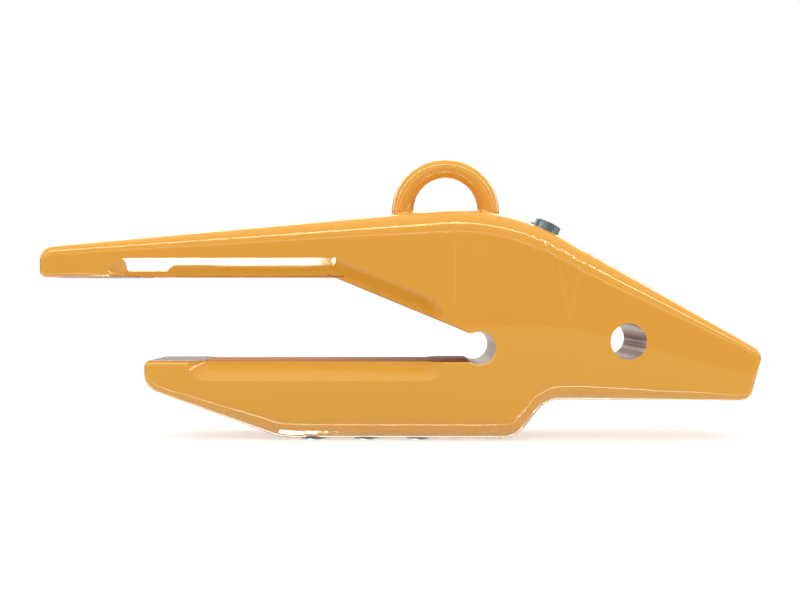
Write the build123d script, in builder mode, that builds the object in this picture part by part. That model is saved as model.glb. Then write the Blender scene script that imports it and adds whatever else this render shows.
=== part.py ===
"""Weld-on bucket tooth adapter: two straps that grip a lip plate, and a nose for the tooth.

The origin is the centre of the pin bore. X runs forwards to the tip of the nose, Z is up,
and the casting is symmetric about the XZ plane. Lengths are in millimetres, angles in degrees.
"""

import os
from math import atan2, cos, degrees, radians, sin, tan

from build123d import *

# Lip plate that the straps grip
lip_thickness = 100
lip_clearance = 1
lip_bevel_angle = 22.5
lip_bevel_run = 175.5
lip_bevel_round = 10
pin_above_lower_pad = 23.4

# Relief hole that ends the throat
pin_to_throat = 177.3
relief_radius = 19.3
relief_dip = 3.6
throat_bump_radius = 5
throat_edge_round = 3

# Straps
upper_strap_reach = 530.2
upper_tip_height = 35.8
upper_strap_slope = 5.3
lower_strap_reach = 403.5
lower_tip_depth = 32.6
lower_strap_slope = 20.6
lower_kink_radius = 90
strap_taper = 1.5
taper_start_behind_throat = 25.4
pad_edge_round = 6.5
pad_relief_depth = 0.6
upper_pad_length = 118
lower_rear_pad_length = 73
front_pad_behind_throat = 59

# Body and nose
body_width = 138
belly_depth = 117.5
crown_radius = 270
heel_behind_pin = 131.7
heel_angle = 52
heel_radius = 36
nose_length = 162.6
nose_top_above_pin = 81.8
nose_top_slope = 30.2
nose_bottom_depth = 71.1
nose_face_slope = 15.2
nose_corner_radius = 15
pin_bore_diameter = 43

# Cast rounds along the outer edges
upper_tip_profile_radius = 17
upper_tip_round = 12
crown_round = 31
lower_tip_profile_radius = 23
lower_tip_round = 13
belly_round = 26
nose_tip_round = 11

# Weld bevels along the inner edges of the straps
upper_bevel_depth = 15.3
upper_land_height = 6.8
upper_bevel_start = 107
lower_bevel_depth = 18.5
lower_land_height = 5.4
lower_bevel_start = 77.7
bevel_stop_behind_throat = 66

# Lifting eye
eye_behind_pin = 215.3
eye_centre_above_strap = 0.94
eye_radius = 53.6
eye_top_diameter = 22.4
eye_foot_diameter = 27
eye_foot_round = 5

# Steel wear buttons
button_diameter = 32
button_length = 26
button_clearance = 0.2
button_row_spacing = 64
button_chamfer = 1
belly_button_pitch = 63.6
belly_button_count = 3
belly_button_front_behind_pin = 250
belly_button_stand_off = 1.6
crown_button_tilt = 24.3
crown_button_stand_off = 9

# Levels and stations that follow from the sizes above
seam = 3
touch = 0.01
half_body = body_width / 2
lower_pad_z = -pin_above_lower_pad
upper_pad_z = lower_pad_z + lip_thickness + lip_clearance
throat_x = -pin_to_throat
throat_z = lower_pad_z - relief_dip + relief_radius
taper_x = throat_x - taper_start_behind_throat
upper_tip_x = throat_x - upper_strap_reach
lower_tip_x = throat_x - lower_strap_reach
lip_kink_x = throat_x - lip_bevel_run
belly_z = -belly_depth
nose_bottom_z = -nose_bottom_depth
upper_rise = tan(radians(upper_strap_slope))
nose_fall = tan(radians(nose_top_slope))
lower_fall = tan(radians(lower_strap_slope))


def strap_top(x):
    """Height of the upper strap's outer face at x."""
    return upper_pad_z + upper_tip_height + (x - upper_tip_x) * upper_rise


def strap_bottom(x):
    """Height of the lower strap's sloped outer face at x."""
    return lower_pad_z - lower_tip_depth - (x - lower_tip_x) * lower_fall


def nose_top(x):
    """Height of the nose's upper face at x."""
    return nose_top_above_pin - x * nose_fall


def half_width(x):
    """Half of the casting's width at x: the straps narrow towards their tips."""
    return half_body - max(0, taper_x - x) * tan(radians(strap_taper))


# Corners of the outer profile
crown_x = (nose_top_above_pin - strap_top(0)) / (upper_rise + nose_fall)
crown_half_turn = tan(radians((upper_strap_slope + nose_top_slope) / 2))
crown_tangent = crown_radius * crown_half_turn
kink_x = lower_tip_x + (lower_pad_z - lower_tip_depth - belly_z) / lower_fall
kink_tangent = lower_kink_radius * tan(radians(lower_strap_slope / 2))
heel_x = -heel_behind_pin
hollow_x = heel_x + (nose_bottom_z - belly_z) / tan(radians(heel_angle))
heel_tangent = heel_radius * tan(radians(heel_angle / 2))
body_rear_x = crown_x - crown_tangent - seam
body_front_x = max(crown_x + crown_tangent, hollow_x + heel_tangent) + seam
kink_rear_x = kink_x - kink_tangent - seam
kink_front_x = kink_x + kink_tangent + seam
nose_face_run = tan(radians(nose_face_slope))
upper_block_x = upper_tip_x + upper_tip_profile_radius + seam
lower_block_x = lower_tip_x + lower_tip_profile_radius + seam
nose_block_x = nose_length - 2 * nose_corner_radius


def plan_outline(rear_x, front_x):
    """Plan view of the casting between two stations, with the straps' taper."""
    rear = (rear_x, half_width(rear_x))
    front = (front_x, half_width(front_x))
    corners = [rear, front]
    if rear_x < taper_x < front_x:
        corners = [rear, (taper_x, half_body), front]
    other_side = [(x, -y) for x, y in reversed(corners)]
    return corners + other_side


def block(corners, rounded, rear_x, front_x):
    """Side profile through the casting's width, cut to the plan outline."""
    with BuildPart() as made:
        with BuildSketch(Plane.XZ):
            with BuildLine():
                Polyline(*corners, close=True)
            make_face()
            for corner, radius in rounded:
                fillet(vertices().sort_by_distance(Vector(*corner))[0], radius)
        extrude(amount=body_width, both=True)
        with BuildSketch(Plane.XY.offset(belly_z - body_width)):
            with BuildLine():
                Polyline(*plan_outline(rear_x, front_x), close=True)
            make_face()
        extrude(amount=4 * body_width, mode=Mode.INTERSECT)
    return made.part


def long_edges(solid, low_z, high_z):
    """Edges that run along the casting with their middle between two heights."""
    along = [edge for edge in solid.edges() if edge.bounding_box().size.X > touch]
    return [edge for edge in along if low_z < edge.center().Z < high_z]


# Body, with the crown on top and the heel below
body_corners = [
    (body_rear_x, belly_z),
    (heel_x, belly_z),
    (hollow_x, nose_bottom_z),
    (body_front_x, nose_bottom_z),
    (body_front_x, nose_top(body_front_x)),
    (crown_x, strap_top(crown_x)),
    (body_rear_x, strap_top(body_rear_x)),
]
body_rounds = [
    (body_corners[1], heel_radius),
    (body_corners[2], heel_radius),
    (body_corners[5], crown_radius),
]
with BuildPart() as body:
    add(block(body_corners, body_rounds, body_rear_x, body_front_x))
    fillet(long_edges(body.part, throat_z, strap_top(0)), crown_round)
    fillet(long_edges(body.part, belly_z - seam, throat_z), belly_round)

# Kink of the lower strap
kink_corners = [
    (kink_rear_x, throat_z),
    (kink_rear_x, strap_bottom(kink_rear_x)),
    (kink_x, belly_z),
    (kink_front_x, belly_z),
    (kink_front_x, throat_z),
]
with BuildPart() as kink:
    add(block(kink_corners, [(kink_corners[2], lower_kink_radius)], kink_rear_x, kink_front_x))
    fillet(long_edges(kink.part, belly_z - seam, lower_pad_z), belly_round)

# Tip of the lower strap
lower_tip_corners = [
    (lower_tip_x, throat_z),
    (lower_tip_x, strap_bottom(lower_tip_x)),
    (lower_block_x, strap_bottom(lower_block_x)),
    (lower_block_x, throat_z),
]
with BuildPart() as lower_tip:
    lower_tip_rounds = [(lower_tip_corners[1], lower_tip_profile_radius)]
    add(block(lower_tip_corners, lower_tip_rounds, lower_tip_x, lower_block_x))
    rear_edges = lower_tip.edges().filter_by(Axis.Z).group_by(Axis.X)[0]
    fillet(long_edges(lower_tip.part, belly_z, throat_z - touch) + list(rear_edges), lower_tip_round)

# Tip of the upper strap
upper_tip_corners = [
    (upper_tip_x, throat_z),
    (upper_tip_x, strap_top(upper_tip_x)),
    (upper_block_x, strap_top(upper_block_x)),
    (upper_block_x, throat_z),
]
with BuildPart() as upper_tip:
    upper_tip_rounds = [(upper_tip_corners[1], upper_tip_profile_radius)]
    add(block(upper_tip_corners, upper_tip_rounds, upper_tip_x, upper_block_x))
    rear_edges = upper_tip.edges().filter_by(Axis.Z).group_by(Axis.X)[0]
    fillet(long_edges(upper_tip.part, throat_z + touch, strap_top(0)) + list(rear_edges), upper_tip_round)

# Tip of the nose
nose_tip_corners = [
    (nose_block_x, nose_bottom_z),
    (nose_length - (nose_top(nose_length) - nose_bottom_z) * nose_face_run, nose_bottom_z),
    (nose_length, nose_top(nose_length)),
    (nose_block_x, nose_top(nose_block_x)),
]
nose_rounds = [(nose_tip_corners[1], nose_corner_radius), (nose_tip_corners[2], nose_corner_radius)]
with BuildPart() as nose_tip:
    add(block(nose_tip_corners, nose_rounds, nose_block_x, nose_length))
    outer_edges = [edge for edge in nose_tip.edges() if edge.bounding_box().size.Y < touch]
    fillet([edge for edge in outer_edges if edge.center().X > nose_block_x + touch], nose_tip_round)


def end_face(solid, front, above):
    """End face of a block, cut off at the height of the throat."""
    part = split(solid, bisect_by=Plane.XY.offset(throat_z), keep=Keep.TOP if above else Keep.BOTTOM)
    return part.faces().sort_by(Axis.X)[-1 if front else 0]


def span(rear_face, front_face):
    """Straight stretch between two blocks, whose rounds grow from one face to the other."""
    with BuildPart() as made:
        loft([rear_face, front_face], ruled=True)
    return made.part


upper_span = span(end_face(upper_tip.part, True, True), end_face(body.part, False, True))
lower_rear_span = span(end_face(lower_tip.part, True, False), end_face(kink.part, False, False))
lower_front_span = span(end_face(kink.part, True, False), end_face(body.part, False, False))
nose_span = span(body.faces().sort_by(Axis.X)[-1], nose_tip.faces().sort_by(Axis.X)[0])

# Gap between the straps: lip plate with its bevelled edge, ending in the relief hole
lip_bevel_fall = tan(radians(lip_bevel_angle))
gap_rear_x = upper_tip_x - body_width
gap_corners = [
    (gap_rear_x, lower_pad_z),
    (throat_x, lower_pad_z),
    (throat_x, upper_pad_z - lip_bevel_run * lip_bevel_fall),
    (lip_kink_x, upper_pad_z),
    (gap_rear_x, upper_pad_z),
]


def throat_corners(corners):
    """Corners where the relief hole breaks into the lips of the gap."""
    hole = Vector(throat_x, throat_z)
    on_hole = [corner for corner in corners if abs((corner.center() - hole).length - relief_radius) < touch]
    return [corner for corner in on_hole if corner.X < throat_x]


with BuildPart() as gap:
    with BuildSketch(Plane.XZ):
        with BuildLine():
            Polyline(*gap_corners, close=True)
        make_face()
        fillet(vertices().sort_by_distance(Vector(*gap_corners[3]))[0], lip_bevel_round)
        with Locations((throat_x, throat_z)):
            Circle(relief_radius)
        fillet(throat_corners(vertices()), throat_bump_radius)
    extrude(amount=body_width, both=True)

# Lifting eye: a bent bar, thicker at its feet
eye_x = -eye_behind_pin
eye_z = strap_top(eye_x) + eye_centre_above_strap
with BuildPart() as eye:
    with BuildSketch(Plane.XY.offset(eye_z)) as eye_foot:
        with Locations((eye_x + eye_radius, 0)):
            Circle(eye_foot_diameter / 2)
    with BuildSketch(Plane.YZ.offset(eye_x)) as eye_top:
        with Locations((0, eye_z + eye_radius)):
            Circle(eye_top_diameter / 2)
    with BuildLine(Plane.XZ) as eye_bend:
        CenterArc((eye_x, eye_z), eye_radius, 0, 90)
    sweep([eye_foot.sketch, eye_top.sketch], path=eye_bend.wire(), multisection=True)
    extrude(eye_foot.sketch, amount=-eye_foot_diameter)
    mirror(about=Plane.YZ.offset(eye_x))

# Weld bevels: cut from the tapered sides, with a quarter cone at each end
taper_run = cos(radians(strap_taper))
taper_set = sin(radians(strap_taper))
bevel_stop_x = throat_x - bevel_stop_behind_throat
bevel_stop_z = upper_pad_z - (bevel_stop_x - lip_kink_x) * lip_bevel_fall
upper_bevel_path = [
    (upper_tip_x + upper_bevel_start, upper_pad_z),
    (lip_kink_x, upper_pad_z),
    (bevel_stop_x, bevel_stop_z),
]
lower_bevel_path = [(lower_tip_x + lower_bevel_start, lower_pad_z), (bevel_stop_x, lower_pad_z)]


def bevel_band(side_plane, path, reach):
    """Band of a given reach round the edge path, drawn on a plane beside the strap."""
    with BuildSketch(side_plane) as band:
        for start, end in zip(path, path[1:]):
            first = Vector((start[0] - taper_x) / taper_run, start[1])
            last = Vector((end[0] - taper_x) / taper_run, end[1])
            run = last - first
            middle = (first + last) / 2
            with Locations((middle.X, middle.Y)):
                SlotCenterToCenter(run.length, 2 * reach, rotation=degrees(atan2(run.Y, run.X)))
    return band.sketch


def bevel_cut(path, depth, land):
    """Cutter for the bevels of one strap, on both of its sides."""
    side = Plane((taper_x, half_body, 0), x_dir=(taper_run, taper_set, 0), z_dir=(taper_set, -taper_run, 0))
    outer = bevel_band(side.offset(-seam), path, depth + land + seam)
    inner = bevel_band(side.offset(depth), path, land)
    with BuildPart() as cutter:
        loft([outer.face(), inner.face()], ruled=True)
        mirror(about=Plane.XZ)
    return cutter.part


upper_bevel = bevel_cut(upper_bevel_path, upper_bevel_depth, upper_land_height)
lower_bevel = bevel_cut(lower_bevel_path, lower_bevel_depth, lower_land_height)

# Shallow reliefs that leave the machined pads standing at the tips and beside the throat
relief_spans = [
    (upper_tip_x + upper_pad_length, lip_kink_x, upper_pad_z),
    (lower_tip_x + lower_rear_pad_length, throat_x - front_pad_behind_throat, lower_pad_z),
]


def inner_edges(solid, tip_x):
    """Edges where a strap or the body meets the gap, along its sides and round its tip."""
    walls = Shell(gap.faces())
    edges = [edge for edge in solid.edges() if walls.distance_to(edge.center()) < touch]
    edges = [edge for edge in edges if walls.distance_to(edge @ (1 / 4)) < touch]
    return [edge for edge in edges if abs(edge.center().Y) > touch or edge.center().X < tip_x + seam]


# Straps and body with the gap cut and their inner edges rounded
with BuildPart() as upper_strap:
    add(upper_span)
    add(upper_tip.part)
    add(gap.part, mode=Mode.SUBTRACT)
    fillet(inner_edges(upper_strap.part, upper_tip_x), pad_edge_round)
with BuildPart() as lower_strap:
    add(lower_front_span)
    add(kink.part)
    add(lower_rear_span)
    add(lower_tip.part)
    add(gap.part, mode=Mode.SUBTRACT)
    fillet(inner_edges(lower_strap.part, lower_tip_x), pad_edge_round)
with BuildPart() as throat_body:
    add(body.part)
    add(gap.part, mode=Mode.SUBTRACT)
    fillet(inner_edges(throat_body.part, upper_tip_x), throat_edge_round)

# Seats of the steel buttons
strap_run = cos(radians(upper_strap_slope))
strap_rise = sin(radians(upper_strap_slope))
crown_centre_x = crown_x - crown_tangent * strap_run + crown_radius * strap_rise
crown_centre_z = strap_top(crown_x) - crown_tangent * strap_rise - crown_radius * strap_run
tilt_run = sin(radians(crown_button_tilt))
tilt_rise = cos(radians(crown_button_tilt))
rows = (-button_row_spacing / 2, button_row_spacing / 2)
belly_row_x = [-belly_button_front_behind_pin - step * belly_button_pitch for step in range(belly_button_count)]
belly_seats = [Plane((x, y, belly_z), x_dir=(1, 0, 0), z_dir=(0, 0, -1)) for x in belly_row_x for y in rows]
crown_seat_x = crown_centre_x + crown_radius * tilt_run
crown_seat_z = crown_centre_z + crown_radius * tilt_rise
crown_outward = (tilt_run, 0, tilt_rise)
crown_seats = [Plane((crown_seat_x, y, crown_seat_z), x_dir=(0, 1, 0), z_dir=crown_outward) for y in rows]
seat_radius = button_diameter / 2 + button_clearance
belly_seat_depth = button_length - belly_button_stand_off + button_clearance
crown_seat_depth = button_length - crown_button_stand_off + button_clearance

# Casting: body, straps, nose and eye joined, then bevels, pads, bore and seats cut
with BuildPart() as adapter_casting:
    add(throat_body.part)
    add(upper_strap.part)
    add(lower_strap.part)
    add(nose_span)
    add(nose_tip.part)
    bare_edges = adapter_casting.edges()
    add(eye.part)
    eye_seams = [edge for edge in adapter_casting.edges() - bare_edges if edge.center().Z < eye_z]
    eye_seams = [edge for edge in eye_seams if edge.bounding_box().size.Y > eye_foot_diameter / 2]
    fillet(eye_seams, eye_foot_round)
    add(upper_bevel, mode=Mode.SUBTRACT)
    add(lower_bevel, mode=Mode.SUBTRACT)
    for rear_x, front_x, pad_z in relief_spans:
        with BuildSketch(Plane.XZ):
            with Locations(((rear_x + front_x) / 2, pad_z)):
                SlotOverall(front_x - rear_x, 2 * pad_relief_depth)
        extrude(amount=body_width, both=True, mode=Mode.SUBTRACT)
    with BuildSketch(Plane.XZ):
        Circle(pin_bore_diameter / 2)
    extrude(amount=body_width, both=True, mode=Mode.SUBTRACT)
    for seats, depth in ((belly_seats, belly_seat_depth), (crown_seats, crown_seat_depth)):
        with BuildSketch(*seats) as seat_circles:
            Circle(seat_radius)
        extrude(amount=-depth, mode=Mode.SUBTRACT)
        extrude(seat_circles.sketch, amount=seam, mode=Mode.SUBTRACT)
adapter_casting.part.label = "adapter_casting"


def make_button(seat, stand_off):
    """Steel button pressed into its seat, with a broken edge on its outer face."""
    with BuildPart() as button:
        with BuildSketch(seat.offset(stand_off - button_length)):
            Circle(button_diameter / 2)
        extrude(amount=button_length)
        rims = button.edges().filter_by(GeomType.CIRCLE)
        chamfer(rims.sort_by_distance(seat.offset(stand_off).origin)[0], button_chamfer)
    return button.part


# Steel buttons, one node each
buttons = {}
sides = ("right", "left")
for index, seat in enumerate(belly_seats):
    step, side = divmod(index, 2)
    name = f"belly_button_{sides[side]}_{step + 1}"
    buttons[name] = make_button(seat, belly_button_stand_off)
for index, seat in enumerate(crown_seats):
    name = f"crown_button_{sides[index]}"
    buttons[name] = make_button(seat, crown_button_stand_off)

os.makedirs("parts", exist_ok=True)
export_step(adapter_casting.part, "parts/adapter_casting.step")
for name, button in buttons.items():
    button.label = name
    export_step(button, f"parts/{name}.step")
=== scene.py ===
"""Looks of the bucket tooth adapter: a painted steel casting with bare steel wear buttons."""

from math import radians, tan

import bmesh
import bpy
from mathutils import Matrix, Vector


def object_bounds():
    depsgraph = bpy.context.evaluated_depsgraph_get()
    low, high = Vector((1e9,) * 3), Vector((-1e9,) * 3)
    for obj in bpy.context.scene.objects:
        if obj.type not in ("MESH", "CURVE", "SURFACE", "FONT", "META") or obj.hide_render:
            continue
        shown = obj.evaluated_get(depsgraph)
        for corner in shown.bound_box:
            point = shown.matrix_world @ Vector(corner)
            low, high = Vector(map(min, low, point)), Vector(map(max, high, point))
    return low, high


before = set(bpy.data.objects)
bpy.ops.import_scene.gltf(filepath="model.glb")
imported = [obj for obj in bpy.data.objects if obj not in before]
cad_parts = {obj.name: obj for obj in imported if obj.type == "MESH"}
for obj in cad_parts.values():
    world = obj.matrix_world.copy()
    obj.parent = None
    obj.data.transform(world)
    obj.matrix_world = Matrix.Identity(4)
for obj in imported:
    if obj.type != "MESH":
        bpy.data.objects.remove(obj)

cad_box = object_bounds()


# Camera and studio. The camera looks level at the casting's right side, square to the pin bore.
# The room is a white tent, brighter above. Only gloss sees its strip lamps, the glow from below
# and the dark far wall. A pale floor lies under the belly buttons and takes a soft shadow.
camera_distance = 1.3995
camera_along = -0.272
camera_height = 0.0495
view_width = 1
sensor_width = 36
camera_data = bpy.data.cameras.new("camera")
camera_data.sensor_width = sensor_width
camera_data.lens = sensor_width * camera_distance / view_width
camera = bpy.data.objects.new("camera", camera_data)
camera.location = (camera_along, -camera_distance, camera_height)
camera.rotation_euler = (radians(90), 0, 0)
bpy.context.collection.objects.link(camera)
bpy.context.scene.camera = camera
bpy.context.scene.view_settings.view_transform = "Standard"


class Value:
    """Number on a node's socket, which can stand in a sum."""

    def __init__(self, finish, socket):
        self.finish = finish
        self.socket = socket

    def maths(self, operation, first, second=0):
        return self.finish.node("ShaderNodeMath", {"operation": operation}, {0: first, 1: second})

    def __add__(self, other):
        return self.maths("ADD", self, other)

    def __sub__(self, other):
        return self.maths("SUBTRACT", self, other)

    def __rsub__(self, other):
        return self.maths("SUBTRACT", other, self)

    def __mul__(self, other):
        return self.maths("MULTIPLY", self, other)

    def __truediv__(self, other):
        return self.maths("DIVIDE", self, other)

    def __gt__(self, other):
        return self.maths("GREATER_THAN", self, other)

    def __lt__(self, other):
        return self.maths("LESS_THAN", self, other)

    def most(self, other):
        return self.maths("MAXIMUM", self, other)

    def least(self, other):
        return self.maths("MINIMUM", self, other)

    def size(self):
        return self.maths("ABSOLUTE", self)

    def root(self):
        return self.maths("POWER", self, 0.5)

    def sine(self):
        return self.maths("SINE", self)

    def angle(self, other):
        """Angle in radians, with this number upwards and the other one forwards."""
        return self.maths("ARCTAN2", self, other)

    __radd__ = __add__
    __rmul__ = __mul__


class Finish:
    """Node tree of one finish, or of the room's light."""

    def __init__(self, tree):
        self.tree = tree
        tree.nodes.clear()

    def node(self, kind, settings, sockets, out=0):
        """New node with its settings, then its sockets' values or links. Gives one output."""
        made = self.tree.nodes.new(kind)
        for name, setting in settings.items():
            setattr(made, name, setting)
        for name, given in sockets.items():
            if isinstance(given, Value):
                self.tree.links.new(given.socket, made.inputs[name])
            else:
                made.inputs[name].default_value = given
        return Value(self, made.outputs[out]) if made.outputs else None

    def split(self, place):
        """The three numbers of a place."""
        node = self.node("ShaderNodeSeparateXYZ", {}, {0: place}).socket.node
        return [Value(self, output) for output in node.outputs]

    def blend(self, share, first, second):
        """Colour between two, by a share from 0 to 1."""
        return self.node("ShaderNodeMix", {"data_type": "RGBA"}, {0: share, 6: first, 7: second}, out=2)

    def rise(self, value, low, high):
        """0 below low, 1 above high, with soft ends."""
        settings = {"interpolation_type": "SMOOTHSTEP"}
        sockets = {"Value": value, "From Min": low, "From Max": high}
        return self.node("ShaderNodeMapRange", settings, sockets)

    def noise(self, place, scale, detail):
        """Cloudy pattern from 0 to 1, with scale waves to the metre."""
        return self.node("ShaderNodeTexNoise", {}, {"Vector": place, "Scale": scale, "Detail": detail})

    def bump(self, height):
        """Normal of a surface that stands out by a height in metres."""
        return self.node("ShaderNodeBump", {}, {"Strength": 1, "Distance": 1, "Height": height})

    def seen_by(self, ray):
        """1 for one kind of ray, 0 for the others."""
        return self.node("ShaderNodeLightPath", {}, {}, out=f"Is {ray} Ray")


def new_finish(name):
    """New material, with its node tree."""
    material = bpy.data.materials.new(name)
    material.use_nodes = True
    return material, Finish(material.node_tree)


world = bpy.data.worlds.new("white_tent")
world.use_nodes = True
bpy.context.scene.world = world
room = Finish(world.node_tree)
across, away, up = room.split(room.node("ShaderNodeTexCoord", {}, {}, out="Generated"))
never_zero = 0.0001
turn = up.angle(away * -1)
slant = across / (away * away + up * up + never_zero).root()


# Strip lamps, which show as thin lines on the rounds and as a bright face on the weld bevels
def strip(elevation, half_width, strength, rear=-80, front=80):
    """Strip lamp along X, at an angle over the camera's side. All angles are in degrees."""
    even_share = 0.6
    off_centre = (turn - radians(elevation)).size()
    lit = 1 - room.rise(off_centre, radians(half_width * even_share), radians(half_width))
    return lit * (slant > tan(radians(rear))) * (slant < tan(radians(front))) * strength


crown_lamp = strip(elevation=58, half_width=4, strength=13)
edge_lamp = strip(elevation=21, half_width=2, strength=4)
belly_lamp = strip(elevation=-43, half_width=2, strength=14)
far_low_lamp = strip(elevation=-136, half_width=3.5, strength=8)
far_high_lamp = strip(elevation=150, half_width=12, strength=2.5)
bevel_lamp = strip(elevation=-98, half_width=17, strength=40, rear=-16, front=-5.7)
lamps = crown_lamp + edge_lamp + belly_lamp + far_low_lamp + far_high_lamp + bevel_lamp

# Dark far wall with a lit doorway and blinds, which the bore and the bare pads mirror
doorway_glow = 0.9
blinds_glow = 0.5
blinds_pitch = 110
blinds_edge = -0.12
far_level = 0.04
behind = room.rise(away, low=-0.3, high=0.6) * (1 - room.rise(up.size(), low=0.06, high=0.14))
doorway = 1 - room.rise(slant * slant + up * up, low=0.004, high=0.012)
blinds = (up * blinds_pitch).sine() * 0.5 + 0.5
far_wall = doorway * doorway_glow + (slant < blinds_edge) * blinds * blinds_glow + far_level

# What gloss sees of the whole room
gloss_level = 0.5
gloss_lift = 0.6
glow_below = 0.7
below = room.rise(up * -1, low=0.2, high=0.8)
near_room = up.size() * gloss_lift + below * glow_below + gloss_level
gloss = (1 - behind) * near_room + behind * far_wall + lamps

# Plain light of the tent, and the white backdrop that the camera sees
room_level = 0.45
room_lift = 1.35
glossy = room.seen_by("Glossy")
tent = (1 - glossy) * (up.most(0) * room_lift + room_level) + glossy * gloss
backdrop = room.seen_by("Camera").most(room.seen_by("Transmission"))
strength = backdrop + (1 - backdrop) * tent

white = (1, 1, 1, 1)
gloss_tint = (1, 0.98, 0.84, 1)
far_wall_tint = (1, 0.84, 0.74, 1)
tint = room.blend(glossy, white, gloss_tint)
tint = room.blend(glossy * behind, tint, far_wall_tint)
light = room.node("ShaderNodeBackground", {}, {"Color": tint, "Strength": strength})
room.node("ShaderNodeOutputWorld", {}, {"Surface": light})

# Floor. Gloss looks through it, and for the camera it glows a little.
floor_side = 30
floor_mesh = bmesh.new()
bmesh.ops.create_grid(floor_mesh, x_segments=1, y_segments=1, size=floor_side / 2)
bmesh.ops.translate(floor_mesh, verts=floor_mesh.verts, vec=(0, 0, cad_box[0][2]))
floor = bpy.data.objects.new("floor", bpy.data.meshes.new("floor"))
floor_mesh.to_mesh(floor.data)
floor_mesh.free()
bpy.context.collection.objects.link(floor)

seen_grey = (0.5, 0.5, 0.5, 1)
bounce_grey = (0.68, 0.68, 0.68, 1)
floor_glow = 0.6
floor_paint, pale = new_finish("pale_floor")
floor.data.materials.append(floor_paint)
shade = pale.node("ShaderNodeBsdfDiffuse", {}, {"Color": seen_grey})
bounce = pale.node("ShaderNodeBsdfDiffuse", {}, {"Color": bounce_grey})
glow = pale.node("ShaderNodeEmission", {}, {"Color": white, "Strength": floor_glow})
lit_floor = pale.node("ShaderNodeAddShader", {}, {0: shade, 1: glow})
clear = pale.node("ShaderNodeBsdfTransparent", {}, {})
seen_floor = pale.node("ShaderNodeMixShader", {}, {0: pale.seen_by("Camera"), 1: bounce, 2: lit_floor})
surface = pale.node("ShaderNodeMixShader", {}, {0: pale.seen_by("Glossy"), 1: seen_floor, 2: clear})
pale.node("ShaderNodeOutputMaterial", {}, {"Surface": surface})


# Casting. One piece of cast steel under glossy orange-yellow paint, with a parting crease along its
# sides and a faint cast waviness. The pin bore, the relief hole and the rear pads are milled and
# left bare. The other faces that meet the lip plate have thin, matt paint. Light and shade are partly
# painted: lighter paint below the crease, darker paint in the gap and reflections in the bore.
def linear(red, green, blue):
    """Colour as a picture shows it, in light units."""
    shares = [channel / 255 for channel in (red, green, blue)]
    return [s / 12.92 if s <= 0.04045 else ((s + 0.055) / 1.055) ** 2.4 for s in shares] + [1]


casting_paint, paint = new_finish("casting_paint")
place = paint.node("ShaderNodeTexCoord", {}, {}, out="Object")
along, _, height = paint.split(place)

# Milled faces, which are bare
skin = 0.00015
bore_radius = 0.0215
relief_along = -0.1773
relief_height = -0.0077
relief_radius = 0.0193
upper_pad_height = 0.0776
upper_rear_pad_front = -0.585
lower_pad_height = -0.0234
lower_rear_pad_front = -0.508


def hole_wall(centre_along, centre_height, radius):
    """1 on the wall of a round hole that runs across the casting."""
    ahead = along - centre_along
    above = height - centre_height
    return (ahead * ahead + above * above).root() < radius + skin


bore = hole_wall(0, 0, bore_radius)
relief = hole_wall(relief_along, relief_height, relief_radius)
upper_pad = ((height - upper_pad_height).size() < skin) * (along < upper_rear_pad_front)
lower_pad = ((height - lower_pad_height).size() < skin) * (along < lower_rear_pad_front)
bare = bore.most(relief).most(upper_pad).most(lower_pad)

# Painted reflections: pale and brown streaks in the bore stand in for the light and the orange paint
# that it mirrors. They run straight through the bore, so the place that they come from leaves out the
# side
milled_grey = linear(242, 238, 235)
bore_painted_glint = linear(236, 209, 218)
bore_painted_reflection = linear(140, 34, 24)
profile_place = paint.node("ShaderNodeCombineXYZ", {}, {0: along, 2: height})
bore_reflection_streak = paint.rise(paint.noise(profile_place, scale=110, detail=3), low=0.42, high=0.56)
bare_and_reflection_colour = paint.blend(bore, milled_grey, paint.blend(bore_reflection_streak, bore_painted_glint, bore_painted_reflection))

# Other faces of the gap, which have thin, matt paint. Their colour is painted shade: a darker orange
# that turns brown toward the throat, under the upper strap.
gap_skin = 0.0008
gap_floor = -0.0238
gap_roof = 0.078
gap_front = -0.18
gap_roof_front = -0.34
slope_rear = -0.36
slope_start = -0.3528
slope_fall = 0.4142
floor_cut = ((height - gap_floor).size() < gap_skin) * (along < gap_front)
roof_cut = ((height - gap_roof).size() < gap_skin) * (along < gap_roof_front)
slope_cut = ((along - slope_start) * slope_fall + height - upper_pad_height).size() < gap_skin
slope_cut = slope_cut * (along < gap_front) * (along > slope_rear)
matt_shaded_gap = floor_cut.most(roof_cut).most(slope_cut) * (1 - bare)
gap_shade_orange = linear(196, 112, 24)
throat_shade_brown = linear(132, 56, 8)
gap_shade_colour = paint.blend(paint.rise(along, low=-0.45, high=-0.2), gap_shade_orange, throat_shade_brown)

# Crease where the mould parted, which falls along the nose. The paint below it is lighter, as painted
# light on that drafted face.
crease_level = 0.0183
crease_fall = 0.2717
crease = (along * -crease_fall).least(crease_level)
lit_below_crease = paint.rise(crease - height, low=0, high=0.0015)

# Painted light: faint lighter lines at the edges of the wedge-shaped flat under the crown
wedge_tip_along = -0.07
wedge_tip_height = 0.024
wedge_spread = 0.19
wedge_top = 0.09
wedge_line_width = 0.0022
wedge_line_share = 0.8
off_wedge = ((along - wedge_tip_along).size() - (height - wedge_tip_height) * wedge_spread).size()
wedge_edge_light = 1 - paint.rise(off_wedge, low=0, high=wedge_line_width)
wedge_edge_light = wedge_edge_light * (height < wedge_top) * wedge_line_share

# Painted light: a faint lighter upright line near the start of the straps' taper, where the sides fold
taper_line_along = -0.2066
taper_line_foot = 0.045
taper_line_top = 0.118
taper_line_width = 0.0009
taper_fold_light = ((along - taper_line_along).size() < taper_line_width) * (height > taper_line_foot)
painted_fold_light = wedge_edge_light.most(taper_fold_light) * (height < taper_line_top)

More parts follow.
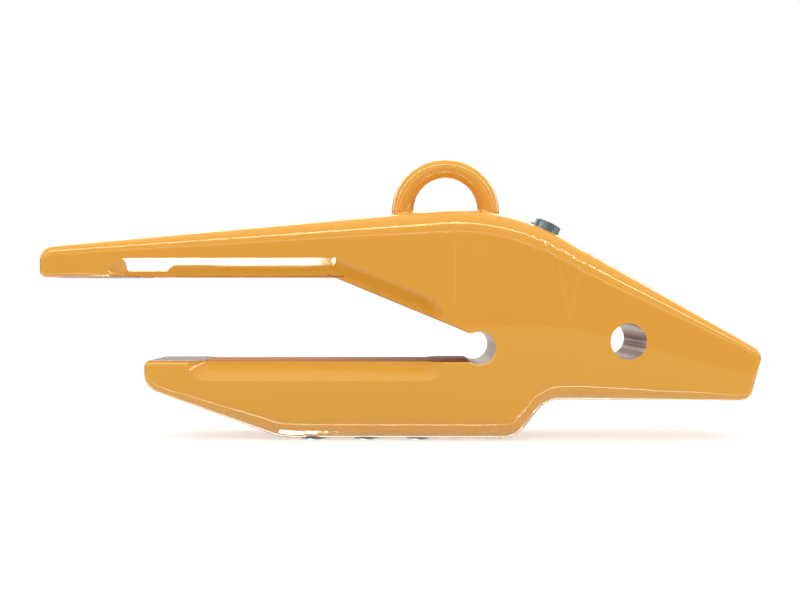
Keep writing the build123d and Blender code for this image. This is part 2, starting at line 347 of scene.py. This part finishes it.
# Colours of the paint, with painted light below the crease and along the fold lines
deep_yellow = linear(228, 161, 53)
light_yellow = linear(233, 165, 57)
painted_light_yellow = linear(234, 170, 66)
painted_light_share = 0.8
paint_and_light_colour = paint.blend(paint.noise(place, scale=9, detail=3), deep_yellow, light_yellow)
# Painted light: lighter yellow below the crease and along the faint fold lines
paint_and_light_colour = paint.blend(painted_fold_light.most(lit_below_crease) * painted_light_share, paint_and_light_colour, painted_light_yellow)
colour = paint.blend(bare, paint.blend(matt_shaded_gap, paint_and_light_colour, gap_shade_colour), bare_and_reflection_colour)

paint_roughness = 0.07
bare_more = 0.08
matt_more = 0.6
bare_metal = 0.55
paint_ior = 1.5
roughness = bare * bare_more + matt_shaded_gap * matt_more + paint_roughness

# Cast waviness, paint skin and the draft of the sides
wave_height = 0.000012
ripple_height = 0.0011
peel_height = 0.00001
draft = 0.02


def patch(outwards, low, high, middle):
    """1 past a level and near a middle along the casting, fading from 30 to 80 mm beside it."""
    off_middle = (along - middle).size()
    return paint.rise(outwards, low, high) * (1 - paint.rise(off_middle, low=0.03, high=0.08))


wave = paint.noise(place, scale=26, detail=2)
ripple = paint.noise(place, scale=90, detail=2)
peel = paint.noise(place, scale=420, detail=1)
crown = patch(height, low=0.07, high=0.1, middle=-0.07)
heel = patch(height * -1, low=0.05, high=0.08, middle=-0.115)
uneven = wave * wave_height + crown.most(heel) * ripple * ripple_height + peel * (1 - bare) * peel_height
drafted = (height - crease).size() * -draft
painted = paint.node(
    "ShaderNodeBsdfPrincipled",
    {},
    {
        "Base Color": colour,
        "Roughness": roughness,
        "Metallic": bare * bare_metal,
        "Normal": paint.bump(uneven + drafted),
        "IOR": paint_ior,
    },
)
paint.node("ShaderNodeOutputMaterial", {}, {"Surface": painted})
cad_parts["adapter_casting"].material_slots[0].material = casting_paint


# Wear buttons. Short round bars of hard steel, pressed into drilled seats in the belly and the crown.
# Their turned ends and walls are bare, blue-grey and slightly dull.
grain_height = 0.00003
dark_steel = linear(82, 97, 107)
light_steel = linear(120, 134, 142)
steel_metal = 0.85
steel_roughness = 0.25
cloud_roughness = 0.2
button_steel, steel = new_finish("button_steel")
place = steel.node("ShaderNodeTexCoord", {}, {}, out="Object")
grain = steel.noise(place, scale=700, detail=4)
clouds = steel.noise(place, scale=60, detail=3)
bare_steel = steel.node(
    "ShaderNodeBsdfPrincipled",
    {},
    {
        "Base Color": steel.blend(clouds, dark_steel, light_steel),
        "Roughness": clouds * cloud_roughness + steel_roughness,
        "Metallic": steel_metal,
        "Normal": steel.bump(grain * grain_height),
    },
)
steel.node("ShaderNodeOutputMaterial", {}, {"Surface": bare_steel})
for name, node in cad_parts.items():
    if "button" in name:
        node.material_slots[0].material = button_steel
